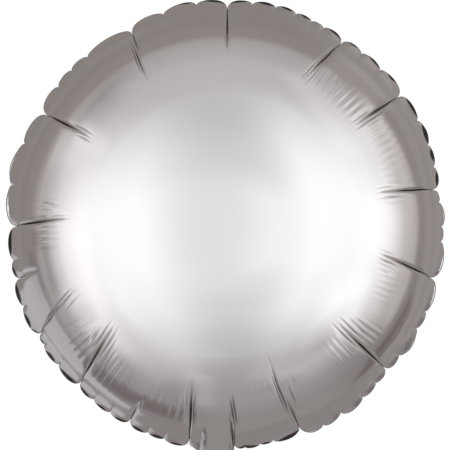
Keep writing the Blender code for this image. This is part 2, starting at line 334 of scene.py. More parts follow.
class StudioSizes(bpy.types.PropertyGroup):
    """The camera and the floor."""

    distance: FloatProperty(
        name="Camera distance", description="From the balloon's centre", default=2.5,
        unit="LENGTH", subtype="DISTANCE",
    )
    floor_drop: FloatProperty(
        name="Floor", description="How far the floor lies below the centre", default=1.2,
        unit="LENGTH", subtype="DISTANCE",
    )
    floor_size: FloatProperty(
        name="Floor size", description="Length of the floor's sides", default=5.0,
        unit="LENGTH", subtype="DISTANCE",
    )


# Shape of the film

def turned(angle):
    """Degrees brought to between -180 and 180."""
    return (angle + 180) % 360 - 180


def smooth(low, high, value):
    """0 below low, 1 above high, and a smooth step between."""
    way = np.clip((value - low) / (high - low), 0, 1)
    return way * way * (3 - 2 * way)


def half_depth(share):
    """Half the depth of the chamber at each share, for film that doesn't stretch."""
    slopes = np.linspace(0, math.pi / 2, DEPTH_STEPS)
    middles = (slopes[1:] + slopes[:-1]) / 2
    rise = np.concatenate([[0], np.cumsum(np.sqrt(np.sin(middles)))]) * slopes[1]
    slope = np.arcsin(np.clip(share, 0, 1) ** 2)
    return CHAMBER_RADIUS / 2 * (rise[-1] - np.interp(slope, slopes, rise))


def plain_outline(angle):
    """Radius of the weld's outer edge at the notches, a little taller than wide."""
    stretch = 1 + HEIGHT_STRETCH * np.cos(2 * np.radians(angle))
    knots = np.array([swell[0] for swell in RIM_SWELLS])
    sizes = np.array([swell[1] for swell in RIM_SWELLS]) * MM
    swell = np.interp(angle % 360, knots, sizes, period=360)
    return (CHAMBER_RADIUS + WELD_WIDTH - RIM_DRAWN_IN) * stretch + swell


def notch_angles():
    """Every crease and pucker in order, and which of them are creases."""
    found = [(crease[0], True) for crease in CREASES]
    found += [(pucker, False) for crease in CREASES for pucker in crease[3]]
    found.sort()
    return np.array([angle for angle, _ in found]), [is_crease for _, is_crease in found]


def neck_corner(x):
    """The angle of a corner of the neck's level foot."""
    return 180 + math.degrees(math.atan2(-x, -NECK_BOTTOM))


def outline(angles):
    """Radius of the weld's outer edge, with its rounded lobes, sharp notches and neck."""
    notches, is_crease = notch_angles()
    from_first = (angles - notches[0]) % 360 + notches[0]
    lobe = np.searchsorted(notches, from_first, side="right") - 1
    ends = np.append(notches[1:], notches[0] + 360)
    width = ends[lobe] - notches[lobe]
    way = np.clip((from_first - notches[lobe]) / width, 0, 1)
    height = LOBE_HEIGHT * np.minimum(1, width / LOBE_FULL_WIDTH)
    radius = plain_outline(angles) + height * np.sqrt(np.sin(math.pi * way))
    for angle, deep in zip(notches, is_crease):
        if deep:
            radius -= NOTCH_DEPTH * np.exp(-np.abs(turned(angles - angle)) / NOTCH_WIDTH)
    left = neck_corner(NECK_LEFT)
    foot = -NECK_BOTTOM / np.cos(np.radians(angles - 180))
    corner = -NECK_BOTTOM / math.cos(math.radians(left - 180))
    slant = corner + (plain_outline(NECK_END) - corner) * (angles - left) / (NECK_END - left)
    neck = np.where(angles <= left, foot, slant)
    return np.where((angles > NECK_START) & (angles < NECK_END), neck, radius)


def crease_line(crease, share):
    """The angle of a crease's line at each share."""
    rim_angle, inner_angle, reach, _ = crease
    way = np.clip((1 - share) / (1 - reach), 0, FOLD_LINE_REACH)
    return rim_angle + (inner_angle - rim_angle) * way


def spoke_angles(count):
    """Angles at the rim of the columns of faces, closer together at notches and ripples."""
    notches, is_crease = notch_angles()
    ends = np.append(notches[1:], notches[0] + 360)
    curves = []
    for number, (start, end) in enumerate(zip(notches, ends)):
        angles = np.linspace(start, end, LOBE_SAMPLES)
        from_notch = np.minimum(angles - start, end - angles)
        density = 1 + NOTCH_CROWDING * np.exp(-from_notch / NOTCH_REACH)
        for near, deep in ((angles - start, is_crease[number]),
                           (end - angles, is_crease[(number + 1) % len(notches)])):
            density += CREASE_CROWDING * deep * (1 - smooth(*CREASE_REACH, near))
        for low, high, _, _, _, _ in RIPPLES:
            density += RIPPLE_CROWDING * ((angles % 360 > low) & (angles % 360 < high))
        middles = (density[1:] + density[:-1]) / 2 * (angles[1] - angles[0])
        curves.append((angles, np.concatenate([[0], np.cumsum(middles)])))
    total = sum(sums[-1] for _, sums in curves)
    columns = [max(LEAST_COLUMNS, round(count * sums[-1] / total)) for _, sums in curves]
    columns[columns.index(max(columns))] += count - sum(columns)
    spokes = []
    for (angles, sums), number in zip(curves, columns):
        spokes.append(np.interp(np.arange(number) * sums[-1] / number, sums, angles))
    return np.concatenate(spokes)


def bent_spokes(rim_angles, share):
    """The columns' angles on one ring, so that they follow the creases' lines inwards."""
    rim = np.array([crease[0] for crease in CREASES])
    moved = np.array([crease_line(crease, share) for crease in CREASES]) - rim
    knots = np.concatenate([rim, [rim[0] + 360]])
    shifts = np.concatenate([moved, [moved[0]]])
    return rim_angles + np.interp(rim_angles, knots, shifts)


def across_line(angles, line, share):
    """How far each angle on a ring lies clockwise of a line, in metres."""
    return np.radians(turned(angles - line)) * share * CHAMBER_RADIUS


def between(inner, outer, peak, share):
    """0 at the inner and outer share, and 1 at the peak, which is a way between them."""
    middle = inner + (outer - inner) * peak
    return float(smooth(inner, middle, share) * (1 - smooth(middle, outer, share)))


def fold_depth(angles, share, sizes):
    """How far the creases cut below the film's smooth surface on one ring."""
    depth = np.zeros_like(angles)
    for crease in CREASES:
        reach = crease[2]
        way = (share - reach) / (1 - reach)
        if way <= 0:
            continue
        across = across_line(angles, crease_line(crease, share), share)
        closing = float(smooth(FOLD_DEEPEST, 1.0, way))
        shallow = min(1, max(FOLD_LEAST_DEPTH, (1 - reach) / FOLD_FULL_REACH))
        deep = sizes.fold_depth * shallow * min(1, way / FOLD_DEEPEST) ** FOLD_POWER
        deep *= 1 - FOLD_CLOSING * closing
        width = sizes.fold_width * min(1, FOLD_INNER_WIDTH + way) * (1 - FOLD_NARROWING * closing)
        depth = np.maximum(depth, deep * np.exp(-np.abs(across) / width))
    return depth


def strand_line(rim_angle, offset, share):
    """The angle of a fine fold's line at a share, this far clockwise of its crease's line."""
    crease = next(crease for crease in CREASES if crease[0] == rim_angle)
    return crease_line(crease, share) + math.degrees(offset * MM / (share * CHAMBER_RADIUS))


def strand_depth(angles, share, sizes):
    """How deep the fine folds beside the creases' inner ends are on one ring."""
    depth = np.zeros_like(angles)
    for rim_angle, offset, inner, outer, deep in STRANDS:
        if inner < share < outer:
            across = across_line(angles, strand_line(rim_angle, offset, share), share)
            along = between(inner, outer, STRAND_DEEPEST, share)
            depth += deep * MM * along * np.exp(-((across / sizes.strand_width) ** 2))
    return depth


def painted_fold_shade(angles, share):
    """How closed a fold is on one ring, from 0 to 1, painted as shade: it mirrors only the dark inside it.
    """
    lines = []
    for crease in CREASES:
        way = (share - crease[2]) / (1 - crease[2])
        closed = OPEN_FOLD * float(smooth(*OPEN_FOLD_WAYS, way))
        closed += (1 - OPEN_FOLD) * float(smooth(FOLD_DEEPEST, 1.0, way))
        width = FOLD_LINE * (1 + FOLD_LINE_SPREAD - FOLD_LINE_SPREAD * way)
        lines.append((crease_line(crease, share), width, closed))
    for rim_angle, offset, inner, outer, deep in STRANDS:
        closed = min(1, STRAND_DARKNESS * deep) * between(inner, outer, STRAND_CLOSED, share)
        lines.append((strand_line(rim_angle, offset, share), FOLD_LINE, closed))
    paint = np.zeros_like(angles)
    for line, width, closed in lines:
        if closed > 0:
            across = across_line(angles, line, share)
            paint = np.maximum(paint, closed * np.exp(-((across / width) ** 2)))
    # Painted shade where the neck's corners pinch the film
    inside = in_neck(angles)
    at_corner = np.sqrt(4 * inside * (1 - inside))
    outside = float(smooth(PLAIN_SHARE, PLAIN_SHARE + PINCH_RUN, share))
    return np.maximum(paint, at_corner * NECK_PINCH_SHADE * outside)


def ripple_height(angles, share):
    """The fine ripples' height on one ring."""
    height = np.zeros_like(angles)
    for low, high, inner, outer, count, size in RIPPLES:
        along = between(inner, outer, 0.5, share)
        if along > 0:
            way = np.clip((angles % 360 - low) / (high - low), 0, 1)
            across = np.sqrt(np.sin(math.pi * way))
            height += size * along * across * np.cos(2 * math.pi * count * way)
    return height


def in_neck(angles):
    """1 between the corners of the neck's foot, and 0 a little outside them."""
    right, left = neck_corner(NECK_RIGHT), neck_corner(NECK_LEFT)
    from_right = smooth(right - CORNER_RIGHT_RUN, right, angles)
    return from_right * (1 - smooth(left, left + CORNER_LEFT_RUN, angles))


def edge_slope(angles):
    """The film's slope where it meets the weld or the tail, in degrees."""
    from_right = smooth(NECK_START, NECK_START + SLOPE_RIGHT_RUN, angles)
    near = from_right * (1 - smooth(NECK_END - SLOPE_LEFT_RUN, NECK_END, angles))
    return EDGE_SLOPE + (NECK_SLOPE - EDGE_SLOPE) * near


def lobes(angles):
    """How far the rim stands out beyond its plain outline at each angle."""
    return (outline(angles) - plain_outline(angles)) * (1 - in_neck(angles))


def along_lens(angles, start, end):
    """Where each angle lies in a lens from start to end, as its height from 0 to 1."""
    way = np.clip(((angles - start) % 360) / (end - start), 0, 1)
    return np.maximum(np.sin(math.pi * way), 0) ** LENS_POWER


def glint_share(angles):
    """How much of the weld's shown width turns forward at each angle."""
    share = np.zeros_like(angles)
    for start, end, middle in GLINTS:
        share = np.maximum(share, middle * along_lens(angles, start, end))
    return share


def edge_shade_width(angles):
    """How wide the weld's painted dark edge of shade shows at each angle."""
    by_glint = np.minimum(1, glint_share(angles) / LEAST_GLINT)
    width = EDGE_LINE + (GLINT_LINE - EDGE_LINE) * by_glint
    for start, end, middle in SHADED_CURLS:
        width = np.maximum(width, middle * CURL_SHADE_SPREAD * along_lens(angles, start, end))
    return width * MM


def weld_section(angles):
    """Points across the weld: how far out and how far back from the chamber's edge."""
    steps = np.linspace(0, 1, WELD_STEPS + 1)[:, None]
    shown = (WELD_SHOWN + lobes(angles) * (1 - LOBE_IN_FILM)) * (1 - in_neck(angles))
    forward = np.maximum(steps - (1 - glint_share(angles)), 0)
    back = (steps - forward) * WELD_LEAN * (1 - in_neck(angles))
    return steps * shown, back


def rim_curve(way, angles):
    """A point on the film between the plain shape and the weld, and its slope."""
    slope = math.asin(PLAIN_SHARE**2)
    start = np.array([PLAIN_SHARE * CHAMBER_RADIUS, float(half_depth(PLAIN_SHARE))])
    foot = (outline(angles) - plain_outline(angles)) * in_neck(angles)
    end_radius = plain_outline(angles) + foot - weld_section(angles)[0][-1]
    end_radius = end_radius + lobes(angles) * (1 - LOBE_IN_FILM)
    end = np.stack([end_radius, np.full_like(angles, EDGE_HALF)])
    reach = np.hypot(end[0] - start[0], end[1] - start[1])
    leaving = np.array([math.cos(slope), -math.sin(slope)])[:, None] * reach
    edge = np.radians(edge_slope(angles))
    arriving = np.array([np.cos(edge), -np.sin(edge)]) * reach
    points = (
        (2 * way**3 - 3 * way**2 + 1) * start[:, None] + (way**3 - 2 * way**2 + way) * leaving
        + (3 * way**2 - 2 * way**3) * end + (way**3 - way**2) * arriving
    )
    return points[0], points[1], slope + (edge - slope) * way


def panel_points(sizes):
    """The outside of the front panel by ring and spoke: its XYZ, and how closed its folds are, for painted
    shade.
    """
    rim_angles = spoke_angles(sizes.spokes)
    points = []
    paint = []
    for number in range(RINGS):
        if number < len(PLAIN_RINGS):
            share = PLAIN_RINGS[number]
            angles = bent_spokes(rim_angles, share)
            slope = math.asin(share**2)
            radius = np.full_like(angles, share * CHAMBER_RADIUS)
            depth = np.full_like(angles, float(half_depth(share)))
        else:
            way = RIM_STEPS[number - len(PLAIN_RINGS)]
            share = PLAIN_SHARE + (1 - PLAIN_SHARE) * way
            angles = bent_spokes(rim_angles, share)
            radius, depth, slope = rim_curve(way, angles)
            radius = radius + lobes(angles) * LOBE_IN_FILM * way**LOBE_POWER
        lift = ripple_height(angles, share) - fold_depth(angles, share, sizes)
        lift = lift - strand_depth(angles, share, sizes)
        radius = radius + lift * np.sin(slope)
        depth = np.maximum(depth + lift * np.cos(slope), EDGE_HALF)
        around = np.radians(angles)
        points.append(np.stack([radius * np.sin(around), -depth, radius * np.cos(around)], -1))
        paint.append(painted_fold_shade(angles, share))
    return np.array(points), np.array(paint)


def weld_points(sizes):
    """The weld's front face, from just inside the chamber's edge to its outer edge."""
    edge = panel_points(sizes)[0][-1]
    angles = spoke_angles(sizes.spokes)
    out, back = weld_section(angles)
    around = np.radians(angles)
    outwards = np.stack([np.sin(around), 0 * around, np.cos(around)], -1)
    backwards = np.array([0, 1, 0])
    edge = edge + backwards * WELD_BEHIND
    rows = [edge - outwards * WELD_TUCK]
    for step in range(WELD_STEPS + 1):
        rows.append(edge + outwards * out[step][:, None] + backwards * back[step][:, None])
    return np.array(rows)


def weld_shade_paint(sizes):
    """How wide the weld's painted shade shows less how far in each point lies, in millimetres."""
    angles = spoke_angles(sizes.spokes)
    out = weld_section(angles)[0]
    from_edge = out[-1] - out
    inside = from_edge[0] + WELD_TUCK
    return (edge_shade_width(angles) - np.concatenate([inside[None], from_edge])) / MM


def rolled_sheet(points, paint_name, paint, middle=None):
    """A flat strip of film rolled up to a disc or band, joined and moved to its points.

    The points are an array of rings, spokes and XYZ, each with a painted value. A disc has a
    middle point as well.
    """
    rings, spokes = points.shape[:2]
    first = 0 if middle is None else 1
    bm = bmesh.new()
    bmesh.ops.create_grid(bm, x_segments=spokes, y_segments=rings + first - 1, size=1)
    layer = bm.verts.layers.float.new(paint_name)
    for vert in bm.verts:
        spoke = round((vert.co.x + 1) / 2 * spokes) % spokes
        ring = round((vert.co.y + 1) / 2 * (rings + first - 1)) - first
        vert.co = middle if ring < 0 else points[ring, spoke]
        vert[layer] = 0 if ring < 0 else paint[ring, spoke]
    bmesh.ops.remove_doubles(bm, verts=bm.verts, dist=1e-7)
    return bm


def to_object(bm, name, material, mirrored=False):
    """A finished piece from a bmesh, smooth with sharp edges.

    The film mirrors only the studio and the panels. The weld, the tail and the valve would show
    in it as bright specks and lines, which the real film's soft satin doesn't resolve, and the
    floor would cover the light from below.
    """
    mesh = bpy.data.meshes.new(name)
    bm.to_mesh(mesh)
    bm.free()
    mesh.shade_smooth()
    mesh.set_sharp_from_angle(angle=math.radians(SHARP_DEGREES))
    mesh.materials.append(material)
    piece = bpy.data.objects.new(name, mesh)
    piece.visible_glossy = mirrored
    bpy.context.scene.collection.objects.link(piece)
    return piece


def face_outwards(bm, side):
    """Turns an open sheet so that its largest face looks along Y on the given side."""
    largest = max(bm.faces, key=lambda face: face.calc_area())
    if largest.normal.y * side < 0:
        bmesh.ops.reverse_faces(bm, faces=bm.faces)


def make_panel(name, side, sizes, material):
    """A round panel: a flat disc of film, filled, creased and given its thickness.

    The front panel bulges to side -1 of Y, and the back panel to side 1.
    """
    points, paint = panel_points(sizes)
    middle = (0, side * float(half_depth(0)), 0)
    # The fold values paint shade into the foil's colour
    bm = rolled_sheet(points * (1, -side, 1), "fold", paint, middle)
    bmesh.ops.recalc_face_normals(bm, faces=bm.faces)
    furthest = max(bm.faces, key=lambda face: side * face.calc_center_median().y)
    if furthest.normal.y * side < 0:
        bmesh.ops.reverse_faces(bm, faces=bm.faces)
    bmesh.ops.solidify(bm, geom=bm.faces, thickness=sizes.film)
    return to_object(bm, name, material, mirrored=True)


def make_weld(sizes, material):
    """The welded edge: a thin band that leans back from the chamber's edge, open at the neck."""
    # The weld's edge values paint shade into the seal's colour
    bm = rolled_sheet(weld_points(sizes), "curl", weld_shade_paint(sizes))
    right, left = neck_corner(NECK_RIGHT), neck_corner(NECK_LEFT)
    closed = []
    for face in bm.faces:
        middle = face.calc_center_median()
        if right < math.degrees(math.atan2(middle.x, middle.z)) % 360 < left:
            closed.append(face)
    bmesh.ops.delete(bm, geom=closed, context="FACES")
    bmesh.ops.recalc_face_normals(bm, faces=bm.faces)
    front = set(bm.verts)
    bmesh.ops.solidify(bm, geom=bm.faces, thickness=sizes.weld)
    back = set(bm.verts) - front
    if sum(vert.co.y for vert in back) < sum(vert.co.y for vert in front):
        back = front
    # The back face is kept out of the painted shade
    layer = bm.verts.layers.float["curl"]
    for vert in back:
        vert[layer] = -1.0
    bmesh.ops.recalc_face_normals(bm, faces=bm.faces)
    return to_object(bm, "welded_edge", material)


# The tail, measured down from its hinge and out from its middle: its foils, the gather at its
# root, its round corners and its side welds, which the foils just reach into
TAIL_LENGTH = HINGE[2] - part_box("tail_front")[0].z
TAIL_HALF_WIDTH = (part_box("tail_front")[1].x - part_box("tail_front")[0].x) / 2
TAIL_START = -2.2 * MM
TAIL_GATHER = 14 * MM
TAIL_CORNER = 4 * MM
TAIL_WELD = 3.5 * MM
SEAL_START = -0.4 * MM
FOIL_SHORT = 0.9 * TAIL_WELD
SHORT_RUN = (-0.5 * MM, 1.5 * MM)
CRIMP_SPACING = 1.3 * MM
CRIMP_HEIGHT = 0.06 * MM
# How far a foil stands off the middle at its welds and at its widest, how that swells down the
# tail, and the slight buckles below the gather, which slant across it
FOIL_GAP = 0.16 * MM
LEAST_GAP = 0.14 * MM
PILLOW_HEIGHT = 0.95
PILLOW_SWELL = 0.25
PILLOW_LENGTH = 9
PILLOW_RUN = (0.5 * MM, 9 * MM)
BUCKLE_HEIGHT = 0.14 * MM
BUCKLE_LENGTH = 4.3
BUCKLE_SLANT = 2.2
BUCKLE_START = 12 * MM
# The gather's pleats: their height, how far down they rise and fade, their spacing across, and
# how far they are out of step with the middle
PLEAT_HEIGHT = 0.16 * MM
PLEAT_RISE = 3 * MM
PLEAT_FADE = 11 * MM
PLEAT_TURNS = 17
PLEAT_SHIFT = 1.1
# The valve's films, from inside the tail to the lips that wave and part at its mouth, less so at
# their sides
FILM_HALF_WIDTH = (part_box("valve_film_front")[1].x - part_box("valve_film_front")[0].x) / 2
FILM_START = 4 * MM
FILM_END = HINGE[2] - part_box("valve_film_front")[0].z
FILM_GAP = 0.12 * MM
LIP_LENGTH = 6 * MM
LIP_PARTING = 0.5 * MM
LIP_ROUNDING = 0.6
LIP_WAVE = 0.12 * MM
LIP_WAVE_TURNS = 5
# Columns and rows of faces on a foil, a side weld and a valve film
FOIL_FACES = (44, 110)
SEAL_FACES = (6, 240)
FILM_FACES = (20, 60)


def half_width(down):
    """Half the tail's width this far down: gathered at its root, then parallel."""
    root = (NECK_RIGHT - NECK_LEFT) / 2
    way = min(1, max(0, down / TAIL_GATHER))
    return root + (TAIL_HALF_WIDTH - root) * (1 - math.cos(math.pi * way)) / 2


def corner_cut(down):
    """How far the mouth's round corner draws the tail's side in."""
    below = max(0, down - (TAIL_LENGTH - TAIL_CORNER)) / TAIL_CORNER
    return TAIL_CORNER * (1 - math.sqrt(max(0, 1 - below**2)))


def flat_sheet(columns, rows, place):
    """A flat sheet of film moved to where place puts each share of its width and length."""
    bm = bmesh.new()
    bmesh.ops.create_grid(bm, x_segments=columns, y_segments=rows, size=1)
    for vert in bm.verts:
        across, down, back = place(vert.co.x, (1 - vert.co.y) / 2)
        vert.co = (HINGE[0] + across, HINGE[1] + back, HINGE[2] - down)
    return bm


def pillow(across, down):
    """How far the tail's foil stands off the middle: flat at root and welds, open at the mouth."""
    from_root = float(smooth(*PILLOW_RUN, down))
    height = PILLOW_HEIGHT + PILLOW_SWELL * math.sin(down / MM / PILLOW_LENGTH)
    return height * MM * from_root * (1 - across**2)


def pleats(across, down):
    """The gather's fine pleats, which run out of the root and fade."""
    along = float(smooth(0.0, PLEAT_RISE, down)) * math.exp(-down / PLEAT_FADE)
    return PLEAT_HEIGHT * along * math.cos(across * PLEAT_TURNS + PLEAT_SHIFT) * (1 - across**4)


def buckles(across, down):
    """The slight buckles that the foil keeps below the gather."""
    wave = math.sin(down / MM / BUCKLE_LENGTH + BUCKLE_SLANT * across)
    return BUCKLE_HEIGHT * wave * (1 - across**2) * (down > BUCKLE_START)


def make_tail_foil(name, side, sizes, material):
    """One foil of the tail, gathered at the neck and pressed flat at its side welds."""
    def place(across, way):
        down = TAIL_START + way * (TAIL_LENGTH - TAIL_START)
        half = half_width(down) - FOIL_SHORT * float(smooth(*SHORT_RUN, down))
        off = FOIL_GAP + pillow(across, down) + pleats(across, down) + buckles(across, down)
        return across * half, down, side * max(LEAST_GAP, off)

    bm = flat_sheet(*FOIL_FACES, place)
    face_outwards(bm, side)
    bmesh.ops.solidify(bm, geom=bm.faces, thickness=sizes.film)
    return to_object(bm, name, material)


def make_tail_weld(name, side, sizes, material):
    """One side weld of the tail: both foils fused and crimped across by the hot bar."""
    def place(across, way):
        down = SEAL_START + way * (TAIL_LENGTH - SEAL_START)
        outer = half_width(down) - corner_cut(down)
        inner = half_width(down) - TAIL_WELD
        edge = outer + (inner - outer) * (1 - across) / 2
        crimp = CRIMP_HEIGHT * math.sin(2 * math.pi * down / CRIMP_SPACING) * (1 - across**8)
        return side * max(edge, 0), down, crimp

    bm = flat_sheet(*SEAL_FACES, place)
    bmesh.ops.recalc_face_normals(bm, faces=bm.faces)
    bmesh.ops.solidify(bm, geom=bm.faces, thickness=sizes.weld)
    for vert in bm.verts:
        vert.co.y -= sizes.weld / 2
    bmesh.ops.recalc_face_normals(bm, faces=bm.faces)
    return to_object(bm, name, material)


def make_valve_film(name, side, sizes, material):
    """One clear film of the valve, which lies in the tail and lips out of its mouth."""
    def place(across, way):
        down = FILM_START + way * (FILM_END - FILM_START)
        lip = float(smooth(TAIL_LENGTH - LIP_LENGTH, FILM_END, down))
        off = FILM_GAP + LIP_PARTING * lip * (1 - LIP_ROUNDING * across**2)
        wave = LIP_WAVE * lip * math.sin(LIP_WAVE_TURNS * across + 2 * side)
        return across * FILM_HALF_WIDTH, down, side * (off + wave)

    bm = flat_sheet(*FILM_FACES, place)
    face_outwards(bm, side)
    bmesh.ops.solidify(bm, geom=bm.faces, thickness=sizes.film / 2)
    return to_object(bm, name, material)


# Materials and light

# The lengths over which the foil's haze and evenness vary, the hot bar's weave, which is 0.5 mm in
# real life and drawn coarser so that it shows, and the width of the valve film's milky streaks
HAZE_LENGTH = 12 * MM
UNEVEN_LENGTH = 30 * MM
WEAVE_SPACING = 0.9 * MM
STREAK_WIDTH = 1.5 * MM
# The painted values between which the film runs into its painted shade: those of the weld's
# edge, which are in millimetres, and those of a fold, which go from 0 to 1
CURL_SHADE_EDGE = (-0.12, 0.18)
FOLD_EDGE = (0.1, 0.9)


def add_node(tree, kind, settings=(), links=()):
    """Adds a node. Settings name attributes or inputs, and links name inputs and their sources."""
    node = tree.nodes.new(kind)
    for key, value in dict(settings).items():
        if isinstance(key, str) and hasattr(node, key):
            setattr(node, key, value)
        else:
            node.inputs[key].default_value = value
    for key, source in dict(links).items():
        tree.links.new(source, node.inputs[key])
    return node


def new_material(name):
    """A material, its node tree and its Principled shader."""
    made = bpy.data.materials.new(name)
    made.use_nodes = True
    return made, made.node_tree, made.node_tree.nodes["Principled BSDF"]


def metallised_film(finishes, paints_fold_shade):
    """Nylon film with vapour-coated aluminium under a satin skin: an even, soft mirror.

    The coat's haze varies a little, and the taut film has a faint unevenness, which only bends
    the reflections slightly. Where a fold closes, shade is painted into its colour, since it would
    mirror only the dark inside it.
    """
    name = "metallised nylon film, creased" if paints_fold_shade else "metallised nylon film"
    made, tree, shader = new_material(name)
    place = add_node(tree, "ShaderNodeTexCoord").outputs["Object"]
    haze = add_node(
        tree, "ShaderNodeTexNoise", {"Scale": 1 / HAZE_LENGTH, "Detail": 3.0}, {"Vector": place}
    )
    roughness = add_node(
        tree, "ShaderNodeMapRange",
        {"To Min": finishes.roughness * 0.85, "To Max": finishes.roughness * 1.15},
        {"Value": haze.outputs["Fac"]},
    )
    uneven = add_node(
        tree, "ShaderNodeTexNoise", {"Scale": 1 / UNEVEN_LENGTH, "Detail": 1.0}, {"Vector": place}
    )
    bump = add_node(
        tree, "ShaderNodeBump", {"Strength": 0.25, "Distance": 0.1 * MM},
        {"Height": uneven.outputs["Fac"]},
    )
    shader.inputs["Base Color"].default_value = (*finishes.foil, 1)
    shader.inputs["Metallic"].default_value = 1
    tree.links.new(roughness.outputs["Result"], shader.inputs["Roughness"])
    tree.links.new(bump.outputs["Normal"], shader.inputs["Normal"])
    if paints_fold_shade:
        # Painted shade: a closing fold runs the foil's colour into the dark
        fold = add_node(tree, "ShaderNodeAttribute", {"attribute_name": "fold"})
        paint_shade(tree, shader, finishes.foil, fold.outputs["Fac"], *FOLD_EDGE)
    return made


def paint_shade(tree, shader, plain, paint, low, high):
    """Paints shade: runs a shader's colour into the dark of a closed fold or of the weld's edge
    as its paint goes from low to high.
    """
    shade = add_node(
        tree, "ShaderNodeMapRange", {"From Min": low, "From Max": high}, {"Value": paint}
    )
    mixed = add_node(
        tree, "ShaderNodeMix", {"data_type": "RGBA"}, {"Factor": shade.outputs["Result"]}
    )
    mixed.inputs["A"].default_value = (*plain, 1)
    mixed.inputs["B"].default_value = linear(PAINTED_SHADE_COLOUR)
    tree.links.new(mixed.outputs["Result"], shader.inputs["Base Color"])


def heat_sealed_film(finishes, paints_edge_shade):
    """The same film fused by a hot bar: a little duller, with the bar's fine weave pressed in.

    Along the rim, shade is painted into its colour: a thin dark edge, and where the rim would
    curl back on itself, the dark of its own fold that it would mirror.
    """
    made, tree, shader = new_material("heat-sealed film, rim" if paints_edge_shade else "heat-sealed film")
    place = add_node(tree, "ShaderNodeTexCoord").outputs["Object"]
    weave = add_node(
        tree, "ShaderNodeTexVoronoi", {"Scale": 1 / WEAVE_SPACING, "Randomness": 0.25},
        {"Vector": place},
    )
    bump = add_node(
        tree, "ShaderNodeBump", {"Strength": 0.12, "Distance": 0.05 * MM},
        {"Height": weave.outputs["Distance"]},
    )
    shader.inputs["Metallic"].default_value = 1
    shader.inputs["Roughness"].default_value = finishes.weld_roughness
    tree.links.new(bump.outputs["Normal"], shader.inputs["Normal"])
    shader.inputs["Base Color"].default_value = (*finishes.weld, 1)
    if paints_edge_shade:
        # Painted shade along the rim's edge and where it would curl back
        curl = add_node(tree, "ShaderNodeAttribute", {"attribute_name": "curl"})
        paint_shade(tree, shader, finishes.weld, curl.outputs["Fac"], *CURL_SHADE_EDGE)
    return made


def clear_film(finishes):
    """Blown polyethylene film: clear with a faint milky haze in streaks down the film."""
    made, tree, shader = new_material("clear polyethylene film")
    place = add_node(tree, "ShaderNodeTexCoord").outputs["Object"]
    streaks = add_node(tree, "ShaderNodeMapping", {}, {"Vector": place})
    streaks.inputs["Scale"].default_value = (1, 1, 0.1)
    haze = add_node(
        tree, "ShaderNodeTexNoise", {"Scale": 1 / STREAK_WIDTH, "Detail": 2.0},
        {"Vector": streaks.outputs["Vector"]},
    )
    mixed = add_node(tree, "ShaderNodeMix", {"data_type": "RGBA"}, {"Factor": haze.outputs["Fac"]})
    mixed.inputs["A"].default_value = linear("#DFE4E8")
    mixed.inputs["B"].default_value = linear("#F4F6F7")
    tree.links.new(mixed.outputs["Result"], shader.inputs["Base Color"])
    shader.inputs["Roughness"].default_value = 0.14
    shader.inputs["IOR"].default_value = 1.51
    shader.inputs["Alpha"].default_value = finishes.valve_alpha
    return made


# The studio's room by how far forward a direction points, from -1 straight behind the balloon
# to 1 straight in front of it, above and below the horizon: its brightness and its tint. The lower
# room runs into the upper one between these degrees above the horizon.
HORIZON = (-20, 10)
ROOM_ABOVE = (
    (-1.0, 0.29, "#FFF5F0"), (-0.62, 0.295, "#FFF5F0"), (-0.42, 0.32, "#FFF5F0"),
    (-0.19, 0.325, "#FFF5F0"), (-0.145, 0.41, "#FFF7F5"), (0.05, 0.44, "#FFFAFB"),
    (0.30, 0.585, "#FEF9FC"), (0.60, 0.635, "#FEFAFE"), (1.0, 0.71, "#FDFCFF"),
)
ROOM_BELOW = (
    (-1.0, 0.29, "#FFF5F4"), (-0.3, 0.29, "#FFF5F5"), (0.0, 0.35, "#FFF6F7"),
    (0.26, 0.42, "#FFF6F7"), (0.57, 0.50, "#FFF8F9"), (0.70, 0.56, "#FEFBFD"), (1.0, 0.71, "#FDFCFF"),
)
